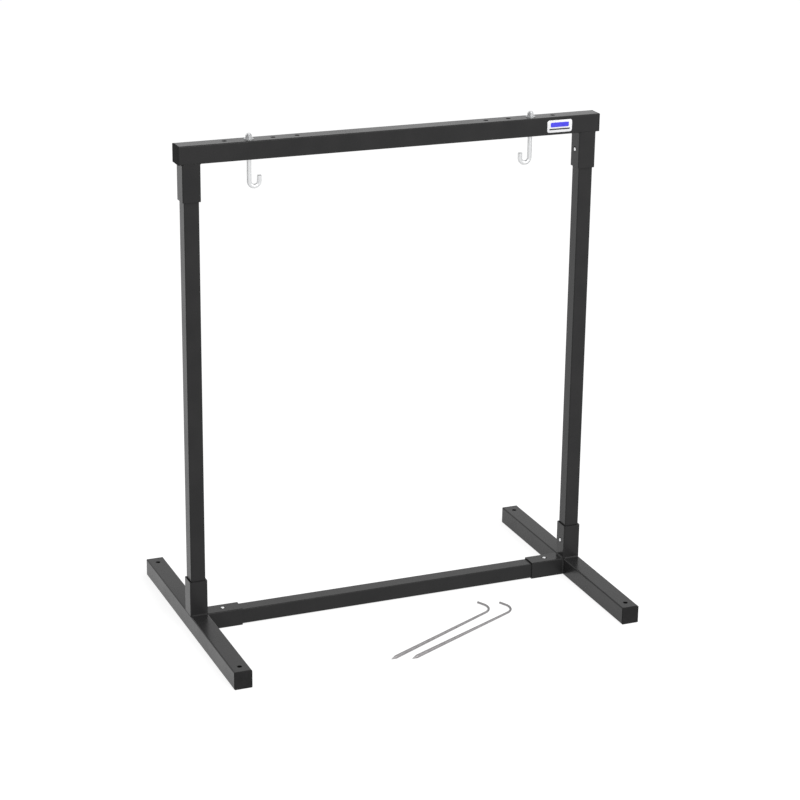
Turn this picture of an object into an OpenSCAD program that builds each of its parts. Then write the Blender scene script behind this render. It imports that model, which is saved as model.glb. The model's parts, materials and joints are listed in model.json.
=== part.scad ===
// Archery target stand: two feet, two posts and a top rail of square steel tube.
// The posts and the lower crossbar slide into larger welded sockets, where
// sprung snap buttons lock them. Two J hooks hang from the rail, and two steel
// stakes lie ready to pin the feet to the ground.
// Origin: on the ground, midway between the posts. X runs to the right, Y to the
// back and Z up, so the shooter stands on the -Y side.

/* [Stand] */
// Distance between the centres of the two posts
post_spacing = 866.2; // [760:0.1:1100]
// Height of the top of the rail above the ground
stand_height = 1041.4; // [800:0.1:1400]
// Length of each foot from front to back, plugs included
foot_length = 610.6; // [500:0.1:800]
// How far each end of the rail stands out past its socket, plug included
rail_overhang = 8.2; // [7.5:0.1:40]

/* [Tube] */
// Outside width of the feet, the sockets and the rail
outer_tube = 38.1; // [38:0.1:40]
// Wall thickness of the feet, the sockets and the rail
outer_wall = 2.1; // [1.5:0.1:2.2]
// Outside width of the posts
inner_tube = 31.75; // [31:0.05:33]
// Outside width of the crossbar
crossbar_tube = 33; // [31:0.1:33.4]
// Wall thickness of the posts and the crossbar
inner_wall = 1.6; // [1.2:0.1:1.8]
// Length of each welded socket
socket_length = 76.2; // [66:0.1:110]
// Leg of the weld beads where one tube stands on another
weld_leg = 3; // [2:0.5:3.5]

/* [End plugs] */
// Thickness of the plug's cap outside the tube
plug_cap = 3.2; // [2.5:0.1:4.5]
// Depth of the plug's ribbed body inside the tube
plug_depth = 16; // [10:1:16]

/* [Holes] */
// Diameter of the stake holes and the hook holes
hole_d = 10.3; // [10:0.1:11]
// From the end of a foot to the centre of its stake hole
stake_hole_inset = 25.4; // [25.4:0.1:50]
// From the end of the rail to the centre of the first hook hole
hook_hole_inset = 101.5; // [92:0.5:125]
// Distance from one hook hole to the next
hook_hole_pitch = 50.8; // [40:0.1:60]

/* [Snap buttons] */
// Diameter of the snap button
button_d = 7.9; // [7:0.1:9.5]
// How far the button stands out of the tube that carries it
button_height = 3.9; // [3.6:0.1:6.5]
// Width of the leaf spring that carries the button
leaf_width = 12; // [10:0.5:14]
// Thickness of the leaf spring
leaf_thickness = 0.9; // [0.7:0.1:1.1]

/* [Hooks] */
// Diameter of the hook's rod
hook_rod_d = 9.5; // [9:0.1:9.6]
// Radius of the J bend at the rod's centre line
hook_bend_radius = 10.7; // [10:0.1:15]
// Height of the hook's threaded end above the top of the rail
hook_stand_proud = 12; // [10:0.1:30]
// From the underside of the rail to the lowest point of the hook
hook_drop = 63; // [55:1:100]
// Straight length of the hook's tip above the bend
hook_tip_length = 11.6; // [8:0.1:20]
// Which hook hole each hook hangs in, counted from the end of the rail
hook_hole = 2; // [1, 2, 3, 4]

/* [Stakes] */
// Diameter of the stake behind its point
stake_d = 7.8; // [6:0.1:9]
// Diameter that the stake tapers to at its handle
stake_handle_d = 4.8; // [4:0.1:6]
// Length of the stake from its point to the far side of its bent handle
stake_length = 342.9; // [250:0.1:450]
// Length of the stake's bent handle from the shaft's centre line
stake_handle = 46; // [36:1:70]

/* [Hidden] */
$fn = 48;

// Sides along X and ends along Y
left = -1;
right = 1;
front = -1;
back = 1;

steel_black = [0.16, 0.16, 0.16];
plug_black = [0.11, 0.11, 0.11];
zinc = [0.75, 0.76, 0.78];
spring_steel = [0.55, 0.56, 0.58];
stake_grey = [0.45, 0.45, 0.46];

// Tube sections
outer_corner = 2.5;
inner_corner = 2.3;
least_corner = 0.6;
plug_corner = 2;
outer_bore = outer_tube - 2 * outer_wall;
crossbar_length = post_spacing - outer_tube;
post_x = post_spacing / 2;
foot_top = outer_tube;
rail_bottom = stand_height - outer_tube;
rail_length = post_spacing + outer_tube + 2 * rail_overhang;
crossbar_z = outer_wall + crossbar_tube / 2;
cut = 1;

// Plugs
cap_edge = 1.5;
plug_body = outer_bore - 1.6;
plug_shell = 2;
plug_rib = 1.2;
plug_rib_pitch = 4;

// Welds run along the flats of the tubes
weld_length = outer_tube - 2 * outer_corner;
groove_bead = 0.75;

// Each socket's hole is wider than its button and lies halfway along the socket.
// The posts' buttons sit a little below the middle of their holes.
button_sag = 0.6;
foot_button_z = foot_top + socket_length / 2 - button_sag;
rail_button_z = rail_bottom - socket_length / 2 - button_sag;
crossbar_button_x = post_x - outer_tube / 2 - socket_length / 2;
button_hole_d = button_d + 0.7;
socket_hole_d = 11.1;
button_rim = 0.9;
leaf_reach = 48;
leaf_flat = 9;
leaf_bend_radius = 4.5;
leaf_bend_steps = 20;
rivet_d = 4.8;
rivet_head_d = 8;
rivet_head = 1.2;
rivet_play = 0.1;

// Hook stack: washer, nut and threaded rod
washer_d = 20.2;
washer_thickness = 1.6;
nut_across_flats = 12.7;
nut_height = 7.1;
thread_play = 0.05;
rod_chamfer = 0.8;
left_nut_turn = 11;
right_nut_turn = 4;
hook_x = rail_length / 2 - hook_hole_inset - (hook_hole - 1) * hook_hole_pitch;
hook_top_z = stand_height + hook_stand_proud;
hook_bend_z = rail_bottom - hook_drop + hook_rod_d / 2 + hook_bend_radius;

// Stakes lie on the ground in front of the crossbar, points towards the shooter
stake_point = 14;
stake_bend_radius = 29;
front_stake_tip = [-68.4, -304.7];
front_stake_turn = 26.4;
rear_stake_tip = [-109.1, -291.5];
rear_stake_turn = 27.4;

// Square with rounded corners, centred
module rounded_square(size, corner) {
    flat = size - 2 * corner;
    square([size, flat], center = true);
    square([flat, size], center = true);
    for (x = [-flat / 2, flat / 2], y = [-flat / 2, flat / 2])
        translate([x, y]) circle(r = corner);
}

// Square tube that stands on the XY plane
module square_tube(length, size, wall, corner) {
    linear_extrude(length)
        difference() {
            rounded_square(size, corner);
            rounded_square(size - 2 * wall, max(corner - wall, least_corner));
        }
}

module outer_square_tube(length) {
    square_tube(length, outer_tube, outer_wall, outer_corner);
}

module inner_square_tube(length, size) {
    square_tube(length, size, inner_wall, inner_corner);
}

// Round hole along Z through the wall or walls between two heights
module drilled_hole(diameter, bottom, top) {
    translate([0, 0, bottom - cut]) cylinder(d = diameter, h = top - bottom + 2 * cut);
}

// Hole from the middle of a tube out through one wall, along +Z
module one_wall_hole(diameter, tube) {
    translate([0, 0, tube / 4]) cylinder(d = diameter, h = tube / 2);
}

// Places of the six snap buttons: children have the button along +Z and
// the leaf spring along +X, with the tube's centre line at the origin
module at_foot_button(side, raised = 0) {
    translate([side * post_x, 0, foot_button_z + raised])
        rotate([0, 0, side == left ? 180 : 0])
            rotate([0, -90, 0]) children();
}

module at_rail_button(side, raised = 0) {
    translate([side * post_x, 0, rail_button_z + raised])
        rotate([180, 0, side == left ? 180 : 0])
            rotate([0, -90, 0]) children();
}

module at_crossbar_button(side) {
    translate([side * crossbar_button_x, 0, crossbar_z])
        rotate([0, 0, side == left ? 0 : 180]) children();
}

// Foot: one tube along Y with a stake hole through it near each end
module foot_tube(side) {
    length = foot_length - 2 * plug_cap;
    hole_y = foot_length / 2 - stake_hole_inset;
    color(steel_black)
        translate([side * post_x, 0, outer_tube / 2])
            difference() {
                rotate([90, 0, 0]) translate([0, 0, -length / 2]) outer_square_tube(length);
                for (y = [-hole_y, hole_y])
                    translate([0, y, 0]) drilled_hole(hole_d, -outer_tube / 2, outer_tube / 2);
            }
}

// Side view of the plug's cap from the tube's end out to +Y, its face a
// flat with rounded edges
module cap_side_view() {
    half = outer_tube / 2;
    translate([-half, 0]) square([outer_tube, plug_cap - cap_edge]);
    translate([cap_edge - half, 0]) square([outer_tube - 2 * cap_edge, plug_cap]);
    for (x = [cap_edge - half, half - cap_edge])
        translate([x, plug_cap - cap_edge]) circle(r = cap_edge);
}

// Square plug: a cap that covers the tube's end, which lies at the origin, and
// below it a hollow body whose ribs grip the tube
module square_plug() {
    intersection() {
        linear_extrude(plug_cap) rounded_square(outer_tube, outer_corner);
        rotate([90, 0, 0])
            linear_extrude(outer_tube + cut, center = true) cap_side_view();
        rotate([90, 0, 90])
            linear_extrude(outer_tube + cut, center = true) cap_side_view();
    }
    translate([0, 0, -plug_depth])
        linear_extrude(plug_depth)
            difference() {
                rounded_square(plug_body, plug_corner);
                rounded_square(plug_body - 2 * plug_shell, plug_corner - 1);
            }
    for (z = [plug_rib_pitch : plug_rib_pitch : plug_depth - plug_rib])
        translate([0, 0, -z - plug_rib])
            linear_extrude(plug_rib)
                difference() {
                    rounded_square(outer_bore, max(outer_corner - outer_wall, least_corner));
                    rounded_square(plug_body - plug_shell, plug_corner - 1);
                }
}

module foot_plug(side, end) {
    color(plug_black)
        translate([side * post_x, end * (foot_length / 2 - plug_cap), outer_tube / 2])
            rotate([-90 * end, 0, 0]) square_plug();
}

module rail_plug(side) {
    color(plug_black)
        translate([side * (rail_length / 2 - plug_cap), 0, stand_height - outer_tube / 2])
            rotate([0, 90 * side, 0]) square_plug();
}

// Upright socket welded on the middle of a foot, its button hole facing inwards
module post_socket(side) {
    color(steel_black)
        difference() {
            translate([side * post_x, 0, foot_top]) outer_square_tube(socket_length);
            at_foot_button(side, button_sag) one_wall_hole(socket_hole_d, outer_tube);
        }
}

// Level socket welded to the inner side of a foot, its button hole on top
module crossbar_socket(side) {
    color(steel_black)
        difference() {
            translate([side * (post_x - outer_tube / 2), 0, outer_tube / 2])
                rotate([0, -90 * side, 0]) outer_square_tube(socket_length);
            at_crossbar_button(side) one_wall_hole(socket_hole_d, outer_tube);
        }
}

// Socket welded under the rail, its button hole facing inwards
module rail_socket(side) {
    color(steel_black)
        difference() {
            translate([side * post_x, 0, rail_bottom - socket_length])
                outer_square_tube(socket_length);
            at_rail_button(side, button_sag) one_wall_hole(socket_hole_d, outer_tube);
        }
}

// Fillet weld along Y in the corner between the XY plane and the YZ plane,
// its legs along +X and +Z
module fillet_weld() {
    rotate([90, 0, 0])
        linear_extrude(weld_length, center = true)
            difference() {
                square(weld_leg);
                translate([weld_leg * 1.25, weld_leg * 1.25]) circle(r = weld_leg);
            }
}

// Groove weld along X where the socket's wall passes the rounded corner of the
// tube below it, drawn for the side towards +Y with the socket at the origin
module groove_weld() {
    half = outer_tube / 2;
    depth = 2 * groove_bead;
    start = half - outer_wall + 0.4;
    rotate([90, 0, 90])
        linear_extrude(weld_length, center = true)
            difference() {
                union() {
                    translate([start, -depth]) square([half - groove_bead / 2 - start, depth]);
                    translate([half - groove_bead / 2, -groove_bead]) circle(r = groove_bead);
                }
                translate([half - outer_corner, -outer_corner]) circle(r = outer_corner);
            }
}

// Weld round a socket that stands on the XY plane, on a tube that runs along X:
// fillets at both ends of the footprint and a groove weld on the flush sides
module socket_weld(flush_sides) {
    for (turn = [0, 180])
        rotate([0, 0, turn]) translate([outer_tube / 2, 0, 0]) fillet_weld();
    for (side = flush_sides)
        mirror([0, side == back ? 0 : 1, 0]) groove_weld();
}

// The post socket's inner side stands on the crossbar socket and has a fillet
// there. The crossbar socket has none above or on the ground side.
module foot_welds(side) {
    color(steel_black) {
        translate([side * post_x, 0, foot_top])
            rotate([0, 0, 90]) socket_weld([-side]);
        translate([side * (post_x - outer_tube / 2), 0, foot_top])
            mirror([side == left ? 0 : 1, 0, 0]) fillet_weld();
        translate([side * (post_x - outer_tube / 2), 0, outer_tube / 2])
            rotate([0, -90 * side, 0])
                rotate([0, 0, 90]) socket_weld([]);
    }
}

// Welds round the sockets under the rail
module rail_welds() {
    color(steel_black)
        for (side = [left, right])
            translate([side * post_x, 0, rail_bottom])
                rotate([180, 0, 0]) socket_weld([front, back]);
}

// Crossbar that ties the feet, resting on the lower walls of its sockets
module lower_crossbar() {
    color(steel_black)
        difference() {
            translate([-crossbar_length / 2, 0, crossbar_z])
                rotate([0, 90, 0]) inner_square_tube(crossbar_length, crossbar_tube);
            for (side = [left, right])
                at_crossbar_button(side) one_wall_hole(button_hole_d, crossbar_tube);
        }
}

// Post from the top of the foot to the underside of the rail
module post(side) {
    color(steel_black)
        difference() {
            translate([side * post_x, 0, foot_top])
                inner_square_tube(rail_bottom - foot_top, inner_tube);
            at_foot_button(side) one_wall_hole(button_hole_d, inner_tube);
            at_rail_button(side) one_wall_hole(button_hole_d, inner_tube);
        }
}

// Rail with four hook holes drilled through it towards each end
module top_rail() {
    length = rail_length - 2 * plug_cap;
    color(steel_black)
        difference() {
            translate([-length / 2, 0, stand_height - outer_tube / 2])
                rotate([0, 90, 0]) outer_square_tube(length);
            for (side = [left, right], step = [0 : 3])
                translate([side * (rail_length / 2 - hook_hole_inset - step * hook_hole_pitch), 0, 0])
                    drilled_hole(hole_d, rail_bottom, stand_height);
        }
}

// Snap button of a tube of the given size: its rim is rounded, and a rivet tail
// holds it to the leaf spring
module snap_button(tube) {
    wall_face = tube / 2 - inner_wall;
    length = inner_wall + button_height;
    color(zinc)
        translate([0, 0, wall_face]) {
            rotate_extrude() {
                square([button_d / 2, length - button_rim]);
                square([button_d / 2 - button_rim, length]);
                translate([button_d / 2 - button_rim, length - button_rim])
                    circle(r = button_rim);
            }
            translate([0, 0, -leaf_thickness]) cylinder(d = rivet_d, h = leaf_thickness);
            translate([0, 0, -leaf_thickness - rivet_head])
                cylinder(d = rivet_head_d, h = rivet_head);
        }
}

// Unit vector along v
function unit(v) = v / norm(v);

// Point i of a path moved sideways by shift, mitred at the bends
function beside(path, i, shift) =
    let (
        last = len(path) - 1,
        before = unit(path[max(i, 1)] - path[max(i, 1) - 1]),
        after = unit(path[min(i, last - 1) + 1] - path[min(i, last - 1)]),
        middle = unit(before + after)
    )
    path[i] + [-middle.y, middle.x] * shift / (middle * before);

// Leaf spring bent into a V: one leg carries the button, the other bears on the
// far wall of the tube. Its side view is drawn in XY and stood up along XZ.
module leaf_spring(tube) {
    half = tube / 2 - inner_wall - leaf_thickness / 2;
    run = leaf_reach - leaf_flat;
    distance = norm([run, half]);
    turn = 90 - atan(half / run) + asin(leaf_bend_radius / distance);
    centre_line = concat(
        [[-leaf_flat, half], [leaf_flat, half]],
        [for (step = [0 : leaf_bend_steps])
            let (angle = turn * (1 - 2 * step / leaf_bend_steps))
            [leaf_reach, 0] + leaf_bend_radius * [cos(angle), sin(angle)]],
        [[leaf_flat, -half], [-leaf_flat, -half]]
    );
    last = len(centre_line) - 1;
    color(spring_steel)
        difference() {
            rotate([90, 0, 0])
                translate([0, 0, -leaf_width / 2])
                    linear_extrude(leaf_width)
                        polygon(concat(
                            [for (i = [0 : last]) beside(centre_line, i, leaf_thickness / 2)],
                            [for (i = [last : -1 : 0]) beside(centre_line, i, -leaf_thickness / 2)]
                        ));
            cylinder(d = rivet_d + rivet_play, h = tube);
        }
}

// J hook: threaded rod end up through the rail, bend below with its tip inwards
module hook(side) {
    color(zinc)
        translate([side * hook_x, 0, 0])
            rotate([0, 0, side == left ? 0 : 180]) {
                translate([0, 0, hook_bend_z])
                    chamfered_rod(hook_rod_d, hook_top_z - hook_bend_z);
                translate([hook_bend_radius, 0, hook_bend_z])
                    rotate([-90, 0, 0])
                        rotate_extrude(angle = 180)
                            translate([hook_bend_radius, 0]) circle(d = hook_rod_d);
                translate([2 * hook_bend_radius, 0, hook_bend_z])
                    chamfered_rod(hook_rod_d, hook_tip_length);
            }
}

// Rod along +Z with its top edge chamfered
module chamfered_rod(diameter, length) {
    radius = diameter / 2;
    rotate_extrude()
        polygon([
            [0, 0],
            [radius, 0],
            [radius, length - rod_chamfer],
            [radius - rod_chamfer, length],
            [0, length]
        ]);
}

module hook_washer(side) {
    color(zinc)
        translate([side * hook_x, 0, stand_height])
            difference() {
                cylinder(d = washer_d, h = washer_thickness);
                drilled_hole(hole_d, 0, washer_thickness);
            }
}

// Hexagon nut, its corners chamfered above and below
module hook_nut(side) {
    corner_radius = nut_across_flats / 2 / cos(30);
    face_radius = 0.95 * nut_across_flats / 2;
    chamfer = 1.1;
    color(zinc)
        translate([side * hook_x, 0, stand_height + washer_thickness])
            difference() {
                intersection() {
                    rotate([0, 0, side == left ? left_nut_turn : right_nut_turn])
                        cylinder(r = corner_radius, h = nut_height, $fn = 6);
                    rotate_extrude()
                        polygon([
                            [0, 0],
                            [face_radius, 0],
                            [corner_radius + chamfer, chamfer],
                            [corner_radius + chamfer, nut_height - chamfer],
                            [face_radius, nut_height],
                            [0, nut_height]
                        ]);
                }
                drilled_hole(hook_rod_d + 2 * thread_play, 0, nut_height);
            }
}

// Stake lying along +X with its point at the origin and its handle bent to +Y.
// It tapers towards the handle, and leans so that both ends rest on the ground.
module stake() {
    radius = stake_d / 2;
    thin_radius = stake_handle_d / 2;
    tip_radius = 0.6;
    far_end = stake_length - thin_radius;
    shaft = far_end - stake_bend_radius;
    lean = asin((radius - thin_radius) / (far_end - stake_point));
    color(stake_grey)
        translate([0, 0, radius * cos(lean) + stake_point * sin(lean)])
            rotate([0, lean, 0]) {
                rotate([0, 90, 0])
                    rotate_extrude()
                        polygon([
                            [0, 0],
                            [tip_radius, 0],
                            [radius, stake_point],
                            [thin_radius, shaft],
                            [0, shaft]
                        ]);
                translate([shaft, stake_bend_radius, 0])
                    rotate([0, 0, -90])
                        rotate_extrude(angle = 90)
                            translate([stake_bend_radius, 0]) circle(r = thin_radius);
                translate([far_end, stake_bend_radius, 0])
                    rotate([-90, 0, 0])
                        chamfered_rod(stake_handle_d, stake_handle - stake_bend_radius);
            }
}

module front_stake() {
    translate(front_stake_tip) rotate([0, 0, front_stake_turn]) stake();
}

module rear_stake() {
    translate(rear_stake_tip) rotate([0, 0, rear_stake_turn]) stake();
}

foot_tube(left);  // left_foot_tube
foot_tube(right);  // right_foot_tube
foot_plug(left, front);  // left_foot_front_plug
foot_plug(left, back);  // left_foot_back_plug
foot_plug(right, front);  // right_foot_front_plug
foot_plug(right, back);  // right_foot_back_plug
post_socket(left);  // left_post_socket
post_socket(right);  // right_post_socket
crossbar_socket(left);  // left_crossbar_socket
crossbar_socket(right);  // right_crossbar_socket
foot_welds(left);  // left_foot_welds
foot_welds(right);  // right_foot_welds
lower_crossbar();
post(left);  // left_post
post(right);  // right_post
top_rail();
rail_plug(left);  // left_rail_plug
rail_plug(right);  // right_rail_plug
rail_socket(left);  // left_rail_socket
rail_socket(right);  // right_rail_socket
rail_welds();
at_foot_button(left) snap_button(inner_tube);  // left_foot_button
at_foot_button(right) snap_button(inner_tube);  // right_foot_button
at_rail_button(left) snap_button(inner_tube);  // left_rail_button
at_rail_button(right) snap_button(inner_tube);  // right_rail_button
at_crossbar_button(left) snap_button(crossbar_tube);  // left_crossbar_button
at_crossbar_button(right) snap_button(crossbar_tube);  // right_crossbar_button
at_foot_button(left) leaf_spring(inner_tube);  // left_foot_leaf_spring
at_foot_button(right) leaf_spring(inner_tube);  // right_foot_leaf_spring
at_rail_button(left) leaf_spring(inner_tube);  // left_rail_leaf_spring
at_rail_button(right) leaf_spring(inner_tube);  // right_rail_leaf_spring
at_crossbar_button(left) leaf_spring(crossbar_tube);  // left_crossbar_leaf_spring
at_crossbar_button(right) leaf_spring(crossbar_tube);  // right_crossbar_leaf_spring
hook(left);  // left_hook
hook(right);  // right_hook
hook_washer(left);  // left_hook_washer
hook_washer(right);  // right_hook_washer
hook_nut(left);  // left_hook_nut
hook_nut(right);  // right_hook_nut
front_stake();
rear_stake();
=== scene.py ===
"""Looks of the archery target stand, in metres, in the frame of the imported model."""

import json
import math

import bpy
from mathutils import Matrix, Vector, noise


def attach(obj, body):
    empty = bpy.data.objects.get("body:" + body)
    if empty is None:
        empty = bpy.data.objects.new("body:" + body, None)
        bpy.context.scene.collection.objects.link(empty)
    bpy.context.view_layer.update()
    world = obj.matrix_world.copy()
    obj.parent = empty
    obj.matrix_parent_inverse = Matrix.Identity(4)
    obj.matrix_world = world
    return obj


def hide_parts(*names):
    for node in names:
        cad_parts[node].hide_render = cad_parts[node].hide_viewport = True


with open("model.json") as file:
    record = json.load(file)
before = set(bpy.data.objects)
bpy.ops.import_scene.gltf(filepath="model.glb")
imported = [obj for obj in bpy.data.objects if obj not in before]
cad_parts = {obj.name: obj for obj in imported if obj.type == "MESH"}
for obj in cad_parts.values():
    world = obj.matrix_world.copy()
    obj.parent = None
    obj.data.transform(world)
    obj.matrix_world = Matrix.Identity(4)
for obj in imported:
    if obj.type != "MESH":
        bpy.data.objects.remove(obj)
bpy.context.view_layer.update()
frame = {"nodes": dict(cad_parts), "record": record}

# The camera that fits the corners and holes of the photograph
CAMERA_PLACE = Vector((-1.75932, -4.27517, 2.08264))
CAMERA_AZIMUTH = 0.395062
CAMERA_DOWN = 0.338157
CAMERA_ROLL = 0.013
CAMERA_LENS = 104.57
SENSOR = 36.0

# Strength of the world as a light, and of the world that camera and gloss see
WORLD_FILL = 0.48
WORLD_SEEN = 1

# Lamps: where they stand, the width of their disks and their power in watts
LAMP_TARGET = (0, 0, 0.5)
KEY_PLACE, KEY_SIZE, KEY_POWER = (0.6, -4.6, 3.6), 3.2, 130
FILL_PLACE, FILL_SIZE, FILL_POWER = (3.2, -2.4, 3.2), 3.0, 40

# Floor: its tone as a light, and the shade and glow that camera and gloss see
FLOOR_PALE = 0.72
FLOOR_SHADE = 0.42
FLOOR_GLOW = 0.80
FLOOR_HALF = 30
FLOOR_DROP = 0.0001

# Sizes that the made pieces share with the solids they stand on
POST_X = 0.4331
HALF_TUBE = 0.01905
FLAT_LENGTH = 0.0331
FOOT_TOP = 0.0381
RAIL_BOTTOM = 1.0033
HOOK_X = 0.30805
HOOK_RADIUS = 0.00475
HOOK_BEND_RADIUS = 0.0107
HOOK_BEND_Z = 0.95575
HOOK_TOP_Z = 1.0534
HOOK_TIP = 0.0116
ROD_CHAMFER = 0.0008

# Thread of 16 to the inch; crest and root are shares of its pitch
THREAD_PITCH = 0.0254 / 16
THREAD_LENGTH = 0.0445
THREAD_DEPTH = 0.00088
THREAD_CREST = 0.14
THREAD_ROOT = 0.20
THREAD_FADE = 1.5 * THREAD_PITCH

# Weld beads: legs of the two sections, then the length of a slice, of a ripple
# and of a rounded end
WELD_LEG = 0.0024
GROOVE_LEG = 0.0015
BEAD_STEP = 0.0004
RIPPLE_PITCH = 0.0017
BEAD_END = 0.0016

# How much ripples and slow wander swell a bead, as shares of its section, how far
# they bend and shift the ripples, as shares of their pitch, and the bead's least end
RIPPLE_SWELL = 0.07
WANDER_SWELL = 0.05
RIPPLE_BEND = 0.35
RIPPLE_SHIFT = 0.2
WANDER_RATE = 160
LEAST_END = 0.15

# Sticker: centre in X and Z, and the size, corner and drop of each layer
STICKER_CENTRE = (0.3670, 1.0218)
STICKER_SIZE, STICKER_CORNER = (0.0567, 0.0260), 0.0048
BAND_SIZE, BAND_CORNER, BAND_RISE = (0.042, 0.010), 0.0025, 0.003
RULE_SIZE, RULE_CORNER, RULE_DROP = (0.0477, 0.003), 0.001, 0.0063
STICKER_THICKNESS = 0.00018
PRINT_TOP = 0.00022
STICKER_EDGE = 0.00004


# Camera, world and lamps
def place_camera():
    right = Vector((math.cos(CAMERA_AZIMUTH), -math.sin(CAMERA_AZIMUTH), 0))
    ahead = Vector(
        (
            math.sin(CAMERA_AZIMUTH) * math.cos(CAMERA_DOWN),
            math.cos(CAMERA_AZIMUTH) * math.cos(CAMERA_DOWN),
            -math.sin(CAMERA_DOWN),
        )
    )
    up = right.cross(ahead)
    side = right * math.cos(CAMERA_ROLL) + up * math.sin(CAMERA_ROLL)
    top = up * math.cos(CAMERA_ROLL) - right * math.sin(CAMERA_ROLL)
    data = bpy.data.cameras.new("camera")
    data.sensor_fit = "HORIZONTAL"
    data.sensor_width = SENSOR
    data.lens = CAMERA_LENS
    data.clip_end = 100
    camera = bpy.data.objects.new("camera", data)
    bpy.context.scene.collection.objects.link(camera)
    turn = Matrix((side, top, -ahead)).transposed().to_4x4()
    camera.matrix_world = Matrix.Translation(CAMERA_PLACE) @ turn
    bpy.context.scene.camera = camera


def seen_directly(tree):
    """Output that is 1 for camera, glossy and transmission rays and 0 for the rest."""
    path = tree.nodes.new("ShaderNodeLightPath")
    total = path.outputs["Is Camera Ray"]
    for name in ("Is Glossy Ray", "Is Transmission Ray"):
        add = tree.nodes.new("ShaderNodeMath")
        add.operation = "MAXIMUM"
        tree.links.new(total, add.inputs[0])
        tree.links.new(path.outputs[name], add.inputs[1])
        total = add.outputs[0]
    return total


def light_world():
    world = bpy.data.worlds.new("studio")
    bpy.context.scene.world = world
    world.use_nodes = True
    tree = world.node_tree
    tree.nodes.clear()
    fill = tree.nodes.new("ShaderNodeBackground")
    fill.inputs["Color"].default_value = (1, 1, 1, 1)
    fill.inputs["Strength"].default_value = WORLD_FILL
    white = tree.nodes.new("ShaderNodeBackground")
    white.inputs["Color"].default_value = (1, 1, 1, 1)
    white.inputs["Strength"].default_value = WORLD_SEEN
    mix = tree.nodes.new("ShaderNodeMixShader")
    out = tree.nodes.new("ShaderNodeOutputWorld")
    tree.links.new(seen_directly(tree), mix.inputs[0])
    tree.links.new(fill.outputs[0], mix.inputs[1])
    tree.links.new(white.outputs[0], mix.inputs[2])
    tree.links.new(mix.outputs[0], out.inputs["Surface"])


def add_lamp(name, place, size, power):
    data = bpy.data.lights.new(name, "AREA")
    data.shape = "DISK"
    data.size = size
    data.energy = power
    lamp = bpy.data.objects.new(name, data)
    bpy.context.scene.collection.objects.link(lamp)
    lamp.location = place
    aim = Vector(LAMP_TARGET) - Vector(place)
    lamp.rotation_euler = aim.to_track_quat("-Z", "Y").to_euler()


# Materials
class Surface:
    """A node material round one Principled shader, in the object's own coordinates."""

    def __init__(self, name, **values):
        self.material = bpy.data.materials.new(name)
        self.material.use_nodes = True
        self.tree = self.material.node_tree
        self.shader = self.tree.nodes["Principled BSDF"]
        self.coords = self.tree.nodes.new("ShaderNodeTexCoord").outputs["Object"]
        for socket, value in values.items():
            self.shader.inputs[socket.replace("_", " ")].default_value = value

    def link(self, output, node, socket):
        self.tree.links.new(output, node.inputs[socket])

    def noise(self, size, detail=2.0, stretch=(1, 1, 1)):
        """Noise whose lumps are about size metres across, drawn out by stretch."""
        node = self.tree.nodes.new("ShaderNodeTexNoise")
        node.inputs["Scale"].default_value = 1 / size
        node.inputs["Detail"].default_value = detail
        mapping = self.tree.nodes.new("ShaderNodeMapping")
        mapping.inputs["Scale"].default_value = [1 / s for s in stretch]
        self.link(self.coords, mapping, "Vector")
        self.link(mapping.outputs[0], node, "Vector")
        return node.outputs[0]

    def spread(self, value, low, high, start=0.3, end=0.7):
        """value from start to end, taken to low to high."""
        node = self.tree.nodes.new("ShaderNodeMapRange")
        limits = {"From Min": start, "From Max": end, "To Min": low, "To Max": high}
        for socket, number in limits.items():
            node.inputs[socket].default_value = number
        self.link(value, node, "Value")
        return node.outputs[0]

    def blend(self, value, dark, light):
        node = self.tree.nodes.new("ShaderNodeMix")
        node.data_type = "RGBA"
        node.inputs["A"].default_value = (*dark, 1)
        node.inputs["B"].default_value = (*light, 1)
        self.link(value, node, "Factor")
        return node.outputs["Result"]

    def colour(self, value, dark, light, start=0.3, end=0.7):
        result = self.blend(self.spread(value, 0, 1, start, end), dark, light)
        self.link(result, self.shader, "Base Color")

    def rough(self, value, low, high):
        self.link(self.spread(value, low, high), self.shader, "Roughness")

    def bumps(self, *layers):
        """Bumps from (height, depth in metres) pairs, one over the other."""
        last = None
        for height, depth in layers:
            node = self.tree.nodes.new("ShaderNodeBump")
            node.inputs["Strength"].default_value = 1
            node.inputs["Distance"].default_value = depth
            self.link(height, node, "Height")
            if last:
                self.link(last, node, "Normal")
            last = node.outputs[0]
        self.link(last, self.shader, "Normal")


def powder_coat():
    """Black semi-gloss powder coat with a fine orange peel."""
    s = Surface("powder_coat", IOR=1.32, Specular_Tint=(0.5, 0.5, 0.5, 1))
    s.colour(s.noise(0.05, 4), (0.0250, 0.0250, 0.0254), (0.0300, 0.0296, 0.0300))
    s.rough(s.noise(0.09, 3), 0.22, 0.30)
    s.bumps((s.noise(0.0016, 2), 0.000012), (s.noise(0.00035, 1), 0.0000025))
    return s.material


def plug_plastic():
    """Black moulded plastic with a fine spark-eroded grain."""
    s = Surface("plug_plastic", IOR=1.4, Specular_IOR_Level=0.01)
    s.colour(s.noise(0.01, 3), (0.0275, 0.0275, 0.0275), (0.0325, 0.032, 0.0325))
    s.rough(s.noise(0.004, 3), 0.46, 0.56)
    s.bumps((s.noise(0.0004, 3), 0.00002))
    return s.material


def zinc_plate(name, dark, light, smooth, dull):
    """Zinc plate with faint clouding."""
    s = Surface(name, Metallic=1.0)
    s.colour(s.noise(0.006, 4), dark, light)
    s.rough(s.noise(0.003, 3), smooth, dull)
    s.bumps((s.noise(0.0006, 2), 0.000003))
    return s.material


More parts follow.
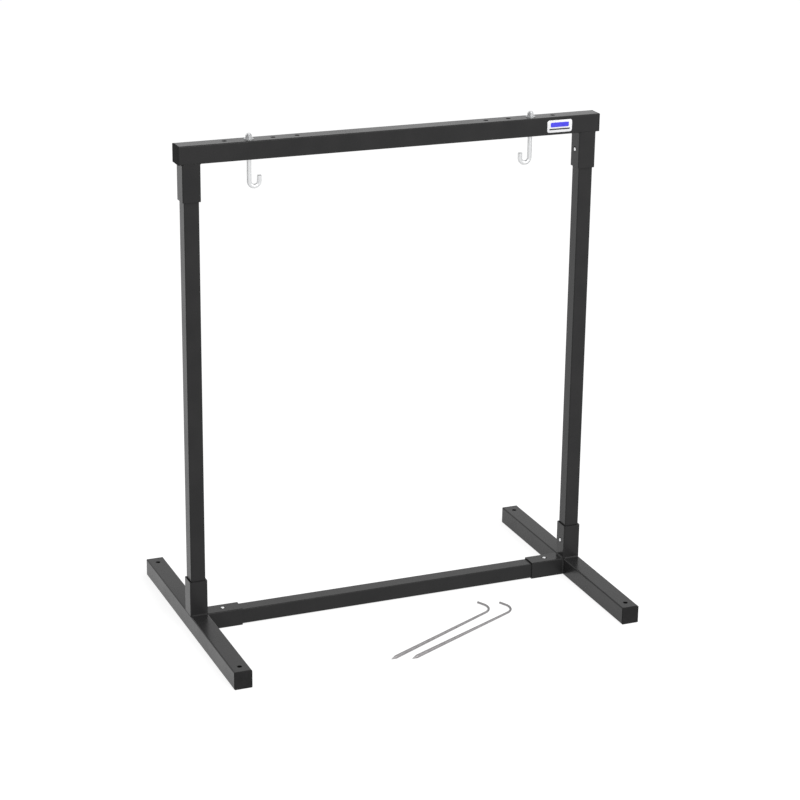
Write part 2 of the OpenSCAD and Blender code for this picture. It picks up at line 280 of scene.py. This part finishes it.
def spring_steel():
    """Rolled spring steel with a fine mottle."""
    s = Surface("spring_steel", Metallic=1.0)
    s.colour(s.noise(0.0012, 3), (0.36, 0.36, 0.38), (0.50, 0.50, 0.52))
    s.rough(s.noise(0.0005, 2), 0.28, 0.42)
    s.bumps((s.noise(0.0003, 2), 0.000004))
    return s.material


def stake_steel():
    """Hot-rolled rod with dull grey mill scale, rubbed lighter in patches."""
    s = Surface("stake_steel", Metallic=0.85)
    s.colour(s.noise(0.009, 5), (0.272, 0.262, 0.266), (0.332, 0.321, 0.326))
    s.rough(s.noise(0.004, 4), 0.34, 0.46)
    s.bumps((s.noise(0.0011, 4), 0.00004), (s.noise(0.006, 2), 0.00005))
    return s.material


def vinyl(name, dark, light):
    """Glossy printed vinyl."""
    s = Surface(name, IOR=1.45)
    s.colour(s.noise(0.012, 2), dark, light)
    s.rough(s.noise(0.008, 2), 0.26, 0.34)
    s.bumps((s.noise(0.002, 1), 0.000008))
    return s.material


def floor_material():
    """Pale floor that the camera sees white, with the object's shadow kept."""
    material = bpy.data.materials.new("studio_floor")
    material.use_nodes = True
    tree = material.node_tree
    tree.nodes.clear()
    pale = tree.nodes.new("ShaderNodeBsdfDiffuse")
    pale.inputs["Color"].default_value = (FLOOR_PALE, FLOOR_PALE, FLOOR_PALE, 1)
    shade = tree.nodes.new("ShaderNodeBsdfDiffuse")
    shade.inputs["Color"].default_value = (FLOOR_SHADE, FLOOR_SHADE, FLOOR_SHADE, 1)
    glow = tree.nodes.new("ShaderNodeEmission")
    glow.inputs["Color"].default_value = (FLOOR_GLOW, FLOOR_GLOW, FLOOR_GLOW, 1)
    glow.inputs["Strength"].default_value = 1
    both = tree.nodes.new("ShaderNodeAddShader")
    mix = tree.nodes.new("ShaderNodeMixShader")
    out = tree.nodes.new("ShaderNodeOutputMaterial")
    tree.links.new(shade.outputs[0], both.inputs[0])
    tree.links.new(glow.outputs[0], both.inputs[1])
    tree.links.new(seen_directly(tree), mix.inputs[0])
    tree.links.new(pale.outputs[0], mix.inputs[1])
    tree.links.new(both.outputs[0], mix.inputs[2])
    tree.links.new(mix.outputs[0], out.inputs["Surface"])
    return material


# Mesh pieces
X, Y, Z = Vector((1, 0, 0)), Vector((0, 1, 0)), Vector((0, 0, 1))


def add_mesh(name, points, faces, material, sharp=40):
    mesh = bpy.data.meshes.new(name)
    mesh.from_pydata(points, [], faces)
    mesh.validate()
    mesh.shade_smooth()
    mesh.set_sharp_from_angle(angle=math.radians(sharp))
    mesh.materials.append(material)
    piece = bpy.data.objects.new(name, mesh)
    bpy.context.scene.collection.objects.link(piece)
    return piece


def skin(rings, first=0):
    """Points and faces of a closed skin over rings of equal count, with flat ends."""
    count = len(rings[0])
    points = [tuple(p) for ring in rings for p in ring]
    faces = []
    for i in range(len(rings) - 1):
        low, high = first + i * count, first + (i + 1) * count
        for j in range(count):
            k = (j + 1) % count
            faces.append((low + j, low + k, high + k, high + j))
    faces.append(tuple(first + j for j in reversed(range(count))))
    faces.append(tuple(first + (len(rings) - 1) * count + j for j in range(count)))
    return points, faces


def thread_depth(phase):
    """Depth of a 60 degree thread at a point of its pitch, from 0 at the crest to 1."""
    phase = phase % 1.0
    flank = (1 - THREAD_CREST - THREAD_ROOT) / 2
    if phase < THREAD_CREST:
        return 0.0
    if phase < THREAD_CREST + flank:
        return (phase - THREAD_CREST) / flank
    if phase < THREAD_CREST + flank + THREAD_ROOT:
        return 1.0
    return (1 - phase) / flank


def hook_rings(sides=32, per_pitch=10):
    """Rings of a J hook whose rod stands at x = 0 and whose tip is towards +X."""
    step = THREAD_PITCH / per_pitch
    angles = [2 * math.pi * j / sides for j in range(sides)]
    rings = []
    count = int(THREAD_LENGTH / step)
    for i in range(count + 1):
        z = HOOK_TOP_Z - i * step
        from_top = HOOK_TOP_Z - z
        fade = min(1.0, (THREAD_LENGTH - from_top) / THREAD_FADE)
        top = HOOK_RADIUS - max(0.0, ROD_CHAMFER - from_top)
        ring = []
        for a in angles:
            phase = z / THREAD_PITCH - a / (2 * math.pi)
            depth = THREAD_DEPTH * fade * thread_depth(phase)
            r = min(top, HOOK_RADIUS - depth)
            ring.append((r * math.cos(a), r * math.sin(a), z))
        rings.append(ring)
    steps = 28
    for i in range(steps + 1):
        turn = math.pi * i / steps
        x = HOOK_BEND_RADIUS * (1 - math.cos(turn))
        centre = Vector((x, 0, HOOK_BEND_Z - HOOK_BEND_RADIUS * math.sin(turn)))
        out = Vector((math.cos(turn), 0, math.sin(turn)))
        round_rod = [math.cos(a) * out + math.sin(a) * Y for a in angles]
        rings.append([centre + HOOK_RADIUS * away for away in round_rod])
    x = 2 * HOOK_BEND_RADIUS
    tip = ((HOOK_TIP - ROD_CHAMFER, HOOK_RADIUS), (HOOK_TIP, HOOK_RADIUS - ROD_CHAMFER))
    for up, r in tip:
        z = HOOK_BEND_Z + up
        rings.append([(x - r * math.cos(a), r * math.sin(a), z) for a in angles])
    return rings


def make_hook(side, material):
    name = "left" if side < 0 else "right"
    points, faces = skin(hook_rings())
    points = [(side * HOOK_X - side * x, -side * y, z) for x, y, z in points]
    piece = add_mesh(name + "_threaded_hook", points, faces, material)
    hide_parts(name + "_hook")
    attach(piece, name + "_hook")


# Sections of a bead, in legs: in the corner of two tubes, and in the groove that
# a rounded corner leaves beside a flat face
FILLET = [(0.0, 0.0), (1.0, 0.0), (0.82, 0.18), (0.60, 0.38)]
FILLET += [(v, u) for u, v in FILLET[:0:-1]]
GROOVE = [
    (-0.9, 0.0),
    (0.0, 0.0),
    (0.30, -0.22),
    (0.38, -0.55),
    (0.28, -0.86),
    (0.0, -1.0),
    (-0.9, -1.0),
]


def bead_rings(middle, along, out, up, section, size, seed):
    """Rings of one rippled weld bead; out and up are the axes of its section."""
    along, out, up = Vector(along), Vector(out), Vector(up)
    count = int(FLAT_LENGTH / BEAD_STEP)
    total = Vector((sum(p[0] for p in section), sum(p[1] for p in section)))
    middle_uv = total / len(section)
    rings = []
    for i in range(count + 1):
        t = i * FLAT_LENGTH / count
        end = min(t, FLAT_LENGTH - t) / BEAD_END
        taper = 1 if end >= 1 else max(LEAST_END, math.sqrt(1 - (1 - end) ** 2))
        wander = noise.noise(Vector((t * WANDER_RATE, seed * 7.3, 0.5)))
        start = Vector(middle) + along * (t - FLAT_LENGTH / 2)
        ring = []
        for u, v in section:
            away = Vector((u, v)) - middle_uv
            across = abs(u - v) if section is FILLET else abs(v + 0.5) * 2
            shift = RIPPLE_BEND * across**2 + RIPPLE_SHIFT * wander
            wave = (t / RIPPLE_PITCH + shift) % 1.0
            ripple = RIPPLE_SWELL * (math.sin(math.pi * wave) - 0.5)
            swell = 1 + ripple + WANDER_SWELL * wander
            free = u > 0.05 and (section is GROOVE or v > 0.05)
            k = swell if free else 1
            uv = middle_uv + away * k
            ring.append(start + (out * uv.x + up * uv.y) * size * taper)
        rings.append(ring)
    return rings


def make_welds(name, node, beads, material):
    points, faces = [], []
    for seed, (middle, along, out, up, section) in enumerate(beads):
        size = WELD_LEG if section is FILLET else GROOVE_LEG
        turned = Vector(out).cross(Vector(up)).dot(Vector(along))
        rings = bead_rings(middle, along, out, up, section, size, seed + len(name))
        if turned < 0:
            rings.reverse()
        ring_points, ring_faces = skin(rings, len(points))
        points += ring_points
        faces += ring_faces
    piece = add_mesh(name, points, faces, material, sharp=60)
    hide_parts(node)
    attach(piece, "frame")


def foot_beads(side):
    """Beads between a foot and its two sockets."""
    x = side * POST_X
    inner = side * (POST_X - HALF_TUBE)
    outer = side * (POST_X + HALF_TUBE)
    beads = [((x, y * HALF_TUBE, FOOT_TOP), X, y * Y, Z, FILLET) for y in (-1, 1)]
    beads.append(((inner, 0, FOOT_TOP), Y, -side * X, Z, FILLET))
    beads.append(((outer, 0, FOOT_TOP), Y, side * X, Z, GROOVE))
    for y in (-1, 1):
        beads.append(((inner, y * HALF_TUBE, HALF_TUBE), Z, y * Y, -side * X, FILLET))
    return beads


def rail_beads():
    """Beads between the rail and the two sockets under it."""
    beads = []
    for side in (-1, 1):
        x = side * POST_X
        for e in (-1, 1):
            beads.append(((x + e * HALF_TUBE, 0, RAIL_BOTTOM), Y, e * X, -Z, FILLET))
        for e in (-1, 1):
            beads.append(((x, e * HALF_TUBE, RAIL_BOTTOM), X, e * Y, -Z, GROOVE))
    return beads


def rounded_outline(width, height, radius, steps=6):
    points = []
    for cx, cy, start in ((1, 1, 0), (-1, 1, 90), (-1, -1, 180), (1, -1, 270)):
        x, y = cx * (width / 2 - radius), cy * (height / 2 - radius)
        for i in range(steps + 1):
            a = math.radians(start + 90 * i / steps)
            points.append((x + radius * math.cos(a), y + radius * math.sin(a)))
    return points


def make_sticker_layer(name, centre, size, radius, low, high, material):
    """Thin printed layer on the rail's front, from low to high metres off the steel."""
    outline = rounded_outline(*size, radius)
    edge = min(STICKER_EDGE, (high - low) / 2)
    across, up = centre
    rings = []
    for inset, stand in ((0, low), (0, high - edge), (edge, high)):
        scale_x, scale_z = 1 - 2 * inset / size[0], 1 - 2 * inset / size[1]
        y = -HALF_TUBE - stand
        ring = [(across + x * scale_x, y, up + z * scale_z) for x, z in outline]
        rings.append(ring)
    points, faces = skin(rings)
    piece = add_mesh(name, points, faces, material)
    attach(piece, "frame")


def make_sticker():
    """Plain sticker with a band and a rule, where the maker's stands."""
    white = vinyl("sticker_white", (0.90, 0.90, 0.92), (0.97, 0.97, 0.98))
    blue = vinyl("sticker_blue", (0.050, 0.045, 0.74), (0.075, 0.065, 0.86))
    black = vinyl("sticker_black", (0.012, 0.012, 0.013), (0.022, 0.022, 0.024))
    x, z = STICKER_CENTRE
    base, top = STICKER_THICKNESS, PRINT_TOP
    layers = (
        ("sticker", z, STICKER_SIZE, STICKER_CORNER, 0, base, white),
        ("sticker_band", z + BAND_RISE, BAND_SIZE, BAND_CORNER, base, top, blue),
        ("sticker_rule", z - RULE_DROP, RULE_SIZE, RULE_CORNER, base, top, black),
    )
    for name, height, size, corner, low, high, material in layers:
        make_sticker_layer(name, (x, height), size, corner, low, high, material)


def make_floor():
    corners = ((-1, -1), (1, -1), (1, 1), (-1, 1))
    points = [(x * FLOOR_HALF, y * FLOOR_HALF, 0) for x, y in corners]
    floor = add_mesh("floor", points, [(0, 1, 2, 3)], floor_material())
    floor.location.z = -FLOOR_DROP


def paint_nodes(finishes, nut_finish, button_finish):
    """Give every solid its material, by its slot in the record or by its name."""
    for entry in frame["record"]["subparts"]:
        node = entry["node"]
        finish = finishes[entry["material_slot"]]
        if node.endswith(("_nut", "_washer")):
            finish = nut_finish
        elif node.endswith("_button"):
            finish = button_finish
        mesh = frame["nodes"][node].data
        mesh.materials.clear()
        mesh.materials.append(finish)


scene = bpy.context.scene
scene.view_settings.view_transform = "Standard"
place_camera()
light_world()
add_lamp("key", KEY_PLACE, KEY_SIZE, KEY_POWER)
add_lamp("fill", FILL_PLACE, FILL_SIZE, FILL_POWER)

finishes = {
    "powder_coat": powder_coat(),
    "plug_plastic": plug_plastic(),
    "zinc_plate": zinc_plate(
        "zinc_plate", (0.64, 0.645, 0.65), (0.71, 0.715, 0.72), 0.30, 0.36
    ),
    "spring_steel": spring_steel(),
    "stake_steel": stake_steel(),
}
nut_finish = zinc_plate(
    "zinc_nut", (0.52, 0.525, 0.53), (0.62, 0.625, 0.63), 0.40, 0.48
)
button_finish = zinc_plate(
    "zinc_button", (0.74, 0.745, 0.75), (0.82, 0.825, 0.83), 0.22, 0.30
)
paint_nodes(finishes, nut_finish, button_finish)
for side in (-1, 1):
    make_hook(side, finishes["zinc_plate"])
coat = finishes["powder_coat"]
make_welds("left_foot_weld_beads", "left_foot_welds", foot_beads(-1), coat)
make_welds("right_foot_weld_beads", "right_foot_welds", foot_beads(1), coat)
make_welds("rail_weld_beads", "rail_welds", rail_beads(), coat)
make_sticker()
make_floor()
